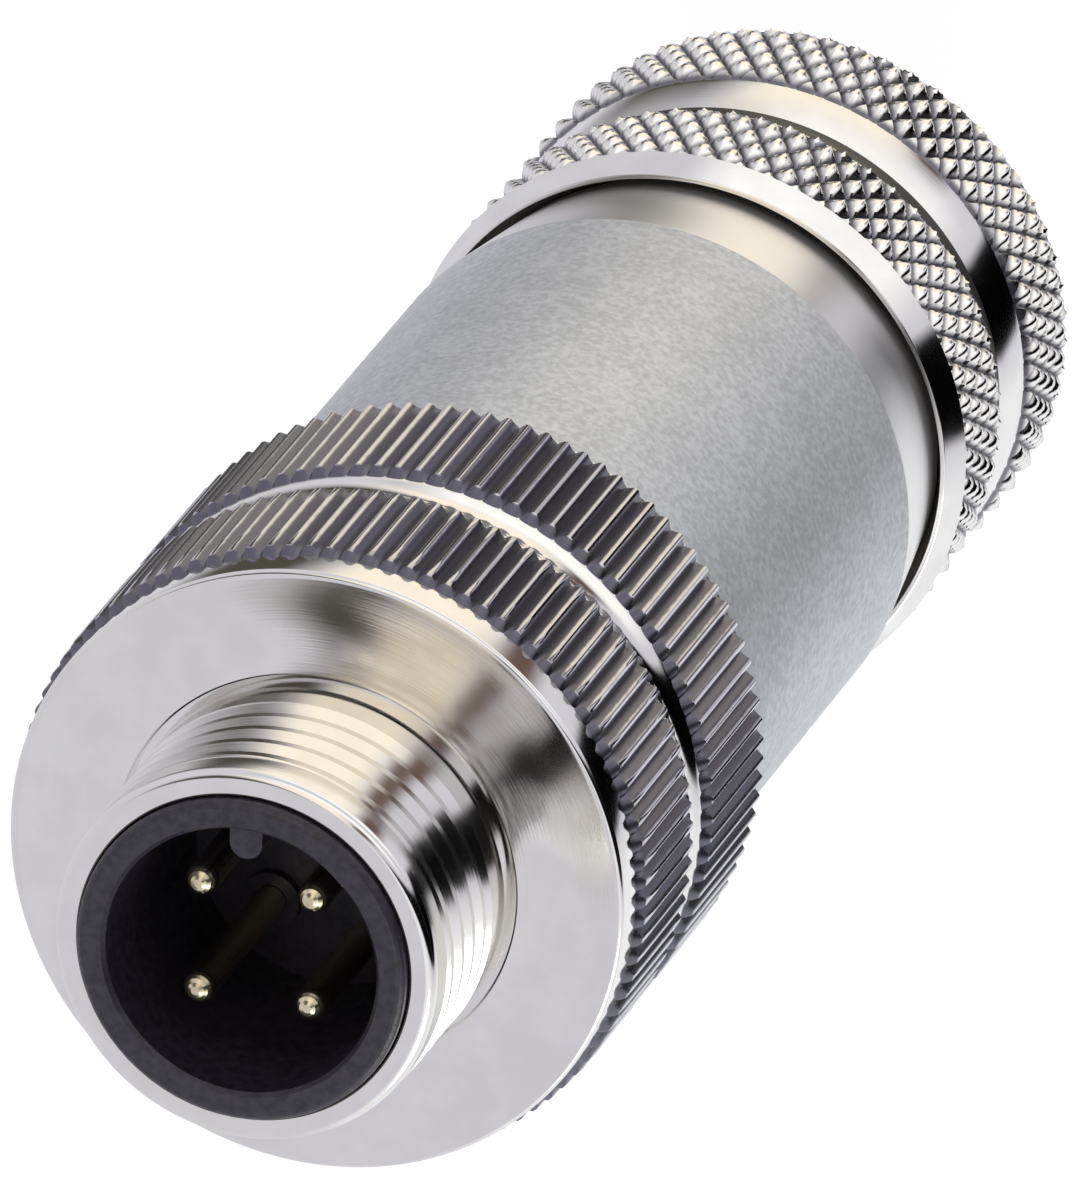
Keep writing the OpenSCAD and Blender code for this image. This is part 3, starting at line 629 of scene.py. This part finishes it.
def makeThreadTree():
    # a right-handed ridge that winds round a cylinder and fades at both ends
    tree, given, end = newTree("screwThread", {
        "Turns": "Float", "Pitch": "Float", "Radius": "Float", "Start": "Float",
        "Height": "Float", "Foot": "Float", "Crest": "Float", "Fade": "Float",
        "Finish": "Material"})
    stepsPerTurn = 96.0
    sizeAtEnd = 0.15    # of the full ridge, where the thread fades
    sinkAtEnd = 0.6     # of its height, so that the small end stays in the metal
    line = addNode(tree, "GeometryNodeCurvePrimitiveLine", {"End": (0.0, 0.0, 1.0)})
    steps = addNode(tree, "ShaderNodeMath", (given["Turns"], stepsPerTurn), operation="MULTIPLY")
    fine = addNode(tree, "GeometryNodeResampleCurve", {"Curve": line, "Count": steps})
    share = addNode(tree, "GeometryNodeSplineParameter")
    wound = addNode(tree, "ShaderNodeMath", (given["Turns"], 2 * math.pi), operation="MULTIPLY")
    angle = addNode(tree, "ShaderNodeMath", (share, wound), operation="MULTIPLY")
    toGo = addNode(tree, "ShaderNodeMath", (1.0, share), operation="SUBTRACT")
    nearEnd = addNode(tree, "ShaderNodeMath", (share, toGo), operation="MINIMUM")
    size = addNode(tree, "ShaderNodeMapRange", {
        "Value": nearEnd, "From Max": given["Fade"], "To Min": sizeAtEnd})
    missing = addNode(tree, "ShaderNodeMath", (size, 1.0), operation="SUBTRACT")
    sunk = addNode(tree, "ShaderNodeMath", (missing, given["Height"]), operation="MULTIPLY")
    radius = addNode(tree, "ShaderNodeMath", (sunk, sinkAtEnd, given["Radius"]),
                     operation="MULTIPLY_ADD")
    length = addNode(tree, "ShaderNodeMath", (given["Turns"], given["Pitch"]), operation="MULTIPLY")
    height = addNode(tree, "ShaderNodeMath", (share, length, given["Start"]), operation="MULTIPLY_ADD")
    helix = addNode(tree, "GeometryNodeSetPosition", {
        "Geometry": fine, "Position": roundAxis(tree, radius, angle, height)})
    upright = addNode(tree, "GeometryNodeSetCurveNormal", {"Curve": helix}, mode="Z_UP")
    outline = addNode(tree, "GeometryNodeCurvePrimitiveQuadrilateral", {
        "Height": given["Height"], "Bottom Width": given["Foot"], "Top Width": given["Crest"],
        "Offset": 0.0}, mode="TRAPEZOID")
    # the trapezium is drawn upright, and is turned so that its crest points away from the axis
    wide, tall, _ = position(tree)
    turnedOutline = addNode(tree, "GeometryNodeSetPosition", {
        "Geometry": outline, "Position": addNode(tree, "ShaderNodeCombineXYZ", (tall, wide))})
    ridge = addNode(tree, "GeometryNodeCurveToMesh", {
        "Curve": upright, "Profile Curve": turnedOutline, "Scale": size, "Fill Caps": True})
    return endTree(tree, ridge, given["Finish"], end)


diamondTree, straightTree, threadTree = makeDiamondTree(), makeStraightTree(), makeThreadTree()
print("knurl and thread trees built")


def addKnurl(name, tree, body, slot, s, rows, low, high, slopes, extras):
    # a band of knurling between two heights, its ends running down at the given slopes
    root = s["crestRadius"] - s["knurlDepth"]
    mesh = grow(name, tree, {
        "Columns": s["columns"], "Rows": rows, "Depth": s["knurlDepth"] * mm,
        "Root Radius": root * mm, "Buried Radius": (root - s["knurlBuried"]) * mm,
        "End Radius": (root - s["knurlEndDrop"]) * mm, "Low End": low * mm, "High End": high * mm,
        "Low Slope": slopes[0], "High Slope": slopes[1], **extras})
    bm = bmesh.new()
    bm.from_mesh(mesh)
    # the wrapped strip has two open rims: they are bridged underneath, so the band is a closed ring
    bmesh.ops.bridge_loops(bm, edges=[e for e in bm.edges if e.is_boundary])
    place(makeObject(name, bm, mesh, s["knurlSharpAngle"]), body, slot)


def addThread(name, body, slot, finish, form, minorRadius, start, length, fade):
    # a thread that stands on its minor radius, faded over the given share of its length
    mesh = grow(name, threadTree, {
        "Turns": length / form["pitch"], "Pitch": form["pitch"] * mm,
        "Radius": (minorRadius + form["middle"]) * mm, "Start": start * mm,
        "Height": form["height"] * mm, "Foot": form["foot"] * mm, "Crest": form["crest"] * mm,
        "Fade": fade, "Finish": finish})
    bm = bmesh.new()
    bm.from_mesh(mesh)
    place(makeObject(name, bm, mesh, 30), body, slot)


couplingSettings = {
    "crestRadius": 9.85, "columns": 98, "knurlDepth": 0.26, "knurlCrest": 0.17, "knurlMargin": 0.15,
    "knurlBuried": 0.14, "knurlEndDrop": 0.05, "knurlSharpAngle": 30,
    "knurlRearGap": 0.1, "knurlFrontLap": 0.05,
    "sideRadius": 9.54, "landRadius": 9.56, "rearBand": 5.6, "grooveWidth": 1.3, "grooveDepth": 0.15,
    "frontBand": 5.05, "land": 1.2, "landStep": 0.03, "rearChamfer": 0.12,
    "faceRound": 0.15, "dish": 0.12, "faceGrooveRadius": 6.225, "faceGrooveDepth": 0.4,
    "faceGrooveEdge": 0.06, "undercutRadius": 5.775, "undercutTop": 0.1, "shankFoot": 0.3,
    "shankRadius": 5.975, "shank": 1.45, "thread": 4.05, "threadRunOut": 0.35, "leadSlope": 0.3,
    "leadRadius": 5.9, "noseFlat": 0.35, "noseRound": 0.3, "minorRadius": 5.42,
    "threadForm": {"pitch": 1.0, "middle": 0.22, "height": 0.62, "foot": 0.95, "crest": 0.26},
    "threadFade": 0.05, "boreRadius": 5.155, "counterRadius": 7.05, "counterChamfer": 0.2,
    "wall": 1.9, "ringHeight": 2.0, "ringGroove": 7.65, "ringBelow": 0.05, "ringAbove": 0.95,
}


def makeCoupling(s):
    rear, front = ends("coupling_nut")
    grooveLow = rear + s["rearBand"]
    bandLow = grooveLow + s["grooveWidth"]
    land = bandLow + s["frontBand"]
    face = land + s["land"]
    barrel = face + s["shank"]
    lead = barrel + s["thread"]
    grooveFloor, ceiling = face - s["faceGrooveDepth"], face - s["wall"]
    ringLow = rear + s["ringHeight"] - s["ringBelow"]
    ringHigh = rear + s["ringHeight"] + s["ringAbove"]
    grooveSteps, dishSteps = 12, 24
    groove = [(s["sideRadius"] - s["grooveDepth"] * math.sin(math.pi * t / grooveSteps),
               grooveLow + s["grooveWidth"] * t / grooveSteps) for t in range(grooveSteps + 1)]
    outer, inner = s["landRadius"] - s["faceRound"], s["faceGrooveRadius"] + s["faceGrooveEdge"]
    dished = [(outer + (inner - outer) * t / dishSteps,
               face - s["dish"] * math.sin(math.pi * t / dishSteps)) for t in range(1, dishSteps)]
    profile = (
        [(s["counterRadius"] + s["counterChamfer"], rear),
         (s["sideRadius"] - s["rearChamfer"], rear), (s["sideRadius"], rear + s["rearChamfer"])]
        + groove
        + [(s["sideRadius"], land), (s["landRadius"], land + s["landStep"])]
        + arcPoints(outer, face - s["faceRound"], s["faceRound"], 0, 90, 5)
        + dished
        + [(inner, face), (s["faceGrooveRadius"], face - s["faceGrooveEdge"]),
           (s["faceGrooveRadius"], grooveFloor), (s["undercutRadius"], grooveFloor),
           (s["undercutRadius"], face + s["undercutTop"]), (s["shankRadius"], face + s["shankFoot"]),
           (s["shankRadius"], barrel), (s["minorRadius"], barrel + s["threadRunOut"]),
           (s["minorRadius"], lead - s["leadSlope"]), (s["leadRadius"], lead),
           (s["leadRadius"], front - s["noseFlat"])]
        + arcPoints(s["leadRadius"] - s["noseRound"], front - s["noseRound"], s["noseRound"],
                    0, 90, 6)[1:]
        + [(s["boreRadius"], front), (s["boreRadius"], ceiling), (s["counterRadius"], ceiling),
           (s["counterRadius"], ringHigh), (s["ringGroove"], ringHigh),
           (s["ringGroove"], ringLow), (s["counterRadius"], ringLow),
           (s["counterRadius"], rear + s["counterChamfer"])])
    place(turned("couplingNutTurned", profile, 256, 22, couplingNickel), "coupling", "plated_nut",
          "coupling_nut")
    for name, low, high in (("couplingKnurlRear", rear + s["knurlRearGap"], grooveLow),
                            ("couplingKnurlFront", bandLow, land + s["knurlFrontLap"])):
        addKnurl(name, straightTree, "coupling", "plated_nut", s, 1, low, high, (1.0, 1.0), {
            "Finish": straightKnurlNickel, "Crest": s["knurlCrest"], "Margin": s["knurlMargin"] * mm})
    addThread("couplingThread", "coupling", "plated_nut", couplingNickel, s["threadForm"],
              s["minorRadius"], barrel - s["threadRunOut"], s["thread"] + 2 * s["threadRunOut"],
              s["threadFade"])


makeCoupling(couplingSettings)
print("coupling nut made")


glandSettings = {
    "crestRadius": 9.0, "columns": 60, "rows": 5, "knurlAngle": 30, "knurlDepth": 0.3,
    "knurlPeak": 1.5, "knurlBuried": 0.15, "knurlEndDrop": 0.05, "knurlSharpAngle": 34,
    "rearSlopes": (1.0, 0.58), "frontSlopes": (1.0, 6.0), "endChamfer": 0.35, "sideDrop": 0.03,
    "groove": 2.7, "grooveRadius": 8.4, "lip": 0.02, "lipSlope": 0.12,
    # the groove's floor: height above its bottom's radius, and distance below the front band
    "grooveFloor": ((0.12, 1.25), (0.03, 1.0), (0.0, 0.75), (0.03, 0.45), (0.12, 0.25)),
    "noseStep": 0.04, "noseRadius": 8.6, "noseFall": 0.03, "noseFlat": 0.1, "noseRound": 0.08,
    "noseInset": 0.06,
    "mouthRadius": 8.4, "mouthChamfer": 0.06, "mouthDepth": 1.5,
    "threadRadius": 7.55, "threadChamfer": 0.25, "wall": 1.5, "holeRadius": 4.3, "holeChamfer": 0.4,
}


def makeGland(s):
    top = ends("gland_nut")[1]
    rowPitch = math.pi * s["crestRadius"] / s["columns"] / math.tan(math.radians(s["knurlAngle"]))
    band = s["rows"] * rowPitch
    lowBand = s["endChamfer"]
    groove = lowBand + band
    highBand = groove + s["groove"]
    nose = highBand + band
    mouth = top - s["mouthDepth"]
    side = s["crestRadius"] - s["knurlDepth"] - s["sideDrop"]
    bottom = [(s["grooveRadius"] + up, highBand - below) for up, below in s["grooveFloor"]]
    profile = (
        [(s["holeRadius"] + s["holeChamfer"], 0), (side - s["endChamfer"], 0),
         (side, s["endChamfer"]), (side, groove), (side - s["lip"], groove + s["lipSlope"])]
        + bottom
        + [(side, highBand + s["lip"]), (side, nose - s["lip"]),
           (s["crestRadius"] - s["noseStep"], nose + s["lip"]),
           (s["noseRadius"] + s["noseFall"], top - s["noseFlat"])]
        + arcPoints(s["noseRadius"] - s["noseInset"], top - s["noseRound"], s["noseRound"], 30, 90, 3)
        + [(s["mouthRadius"] + s["mouthChamfer"], top), (s["mouthRadius"], top - s["mouthChamfer"]),
           (s["mouthRadius"], mouth), (s["threadRadius"] + s["threadChamfer"], mouth),
           (s["threadRadius"], mouth - s["threadChamfer"]), (s["threadRadius"], s["wall"]),
           (s["holeRadius"], s["wall"]), (s["holeRadius"], s["holeChamfer"])])
    place(turned("glandNutTurned", profile, 256, 16, glandNickel), "gland", "plated_gland",
          "gland_nut")
    for name, low, high, slopes in (("glandKnurlRear", lowBand, groove, s["rearSlopes"]),
                                    ("glandKnurlFront", highBand, nose, s["frontSlopes"])):
        addKnurl(name, diamondTree, "gland", "plated_gland", s, s["rows"] + 1, low, high, slopes, {
            "Finish": diamondKnurlNickel, "Row Pitch": rowPitch * mm, "Peak": s["knurlPeak"]})


makeGland(glandSettings)
print("gland nut made")


# the two threads inside the plug, which share one form
innerThread = {"pitch": 1.0, "middle": 0.2, "height": 0.56, "foot": 0.9, "crest": 0.2,
               "coreRise": 0.1, "leadIn": 0.15}

sleeveSettings = {
    "radius": 8.75, "taperRadius": 8.05, "taper": 5.2, "taperEdge": 0.08, "shoulderBlend": 0.1,
    "shoulderDrop": 0.012, "spigotRadius": 7.5, "spigot": 0.2, "minorRadius": 7.0,
    "threadRelief": 0.5, "threadGap": 0.3, "threadFade": 0.04, "plain": 17.3, "rimRound": 0.2,
    "threadBore": 7.55, "threadBoreChamfer": 0.2, "threadLength": 5.6, "bore": 7.25,
    "stepHeight": 13.1, "way": 4.6, "cone": 1.6, "sealBore": 5.85, "sealBoreTop": 10.3,
}


def makeSleeve(s, thread):
    rear, front = ends("body_sleeve")
    shoulder = front - s["plain"]
    neck = shoulder - s["taper"]
    core = s["minorRadius"] + thread["coreRise"]
    profile = (
        [(s["sealBore"], rear), (s["minorRadius"], rear), (core, rear + thread["leadIn"]),
         (core, neck - s["threadRelief"]), (s["spigotRadius"], neck - s["spigot"]),
         (s["spigotRadius"], neck), (s["taperRadius"] - s["taperEdge"], neck),
         (s["taperRadius"], neck + s["taperEdge"]),
         (s["radius"] - s["shoulderDrop"], shoulder - s["shoulderBlend"]),
         (s["radius"], shoulder + s["shoulderBlend"])]
        + arcPoints(s["radius"] - s["rimRound"], front - s["rimRound"], s["rimRound"], 0, 90, 5)
        + [(s["threadBore"] + s["threadBoreChamfer"], front),
           (s["threadBore"], front - s["threadBoreChamfer"]),
           (s["threadBore"], front - s["threadLength"]), (s["bore"], front - s["threadLength"]),
           (s["bore"], s["stepHeight"]), (s["way"], s["stepHeight"]),
           (s["way"], s["sealBoreTop"] + s["cone"]), (s["sealBore"], s["sealBoreTop"])])
    place(turned("bodySleeveTurned", profile, 256, 20, satinNickel), "sleeve", "satin_sleeve",
          "body_sleeve")
    addThread("sleeveThread", "sleeve", "satin_sleeve", dullNickel, thread, s["minorRadius"],
              rear + thread["leadIn"], neck - s["threadGap"] - rear, s["threadFade"])


makeSleeve(sleeveSettings, innerThread)
print("body sleeve made")


carrierSettings = {
    "radius": 7.0, "rimChamfer": 0.2, "threadRadius": 7.5, "minorRadius": 7.0,
    "threadRelief": 0.6, "threadGap": 0.5, "threadFade": 0.08, "collar": 0.25,
    "sealGroove": 6.7, "sealSlack": 0.1, "stopChamfer": 0.1, "ringGroove": 6.45, "ringSlack": 0.05,
    "boreRadius": 5.155, "flangeBore": 6.35, "seat": 2.87,
}


def makeCarrier(s, thread):
    rear, front = ends("front_carrier")
    sealLow, sealHigh = ends("carrier_seal")
    ringLow, ringHigh = ends("nut_retaining_ring")
    stop = ends("body_sleeve")[1]
    seat = rear + s["seat"]
    core = s["minorRadius"] + thread["coreRise"]
    grooveLow, grooveHigh = sealLow - s["sealSlack"], sealHigh + s["sealSlack"]
    slotLow, slotHigh = ringLow - s["ringSlack"], ringHigh + s["ringSlack"]
    profile = [
        (s["flangeBore"], rear), (s["minorRadius"], rear), (core, rear + thread["leadIn"]),
        (core, sealLow - s["threadRelief"]), (s["threadRadius"], sealLow - s["collar"]),
        (s["threadRadius"], grooveLow), (s["sealGroove"], grooveLow),
        (s["sealGroove"], grooveHigh), (s["threadRadius"], grooveHigh),
        (s["threadRadius"], stop), (s["radius"], stop + s["stopChamfer"]), (s["radius"], slotLow),
        (s["ringGroove"], slotLow), (s["ringGroove"], slotHigh), (s["radius"], slotHigh),
        (s["radius"], front - s["rimChamfer"]), (s["radius"] - s["rimChamfer"], front),
        (s["boreRadius"], front), (s["boreRadius"], seat), (s["flangeBore"], seat)]
    place(turned("frontCarrierTurned", profile, 192, 20, dullNickel), "front", "plated_inner",
          "front_carrier")
    addThread("carrierThread", "front", "plated_inner", dullNickel, thread, s["minorRadius"],
              rear + thread["leadIn"], sealLow - s["threadGap"] - rear, s["threadFade"])


makeCarrier(carrierSettings, innerThread)
print("front carrier made")
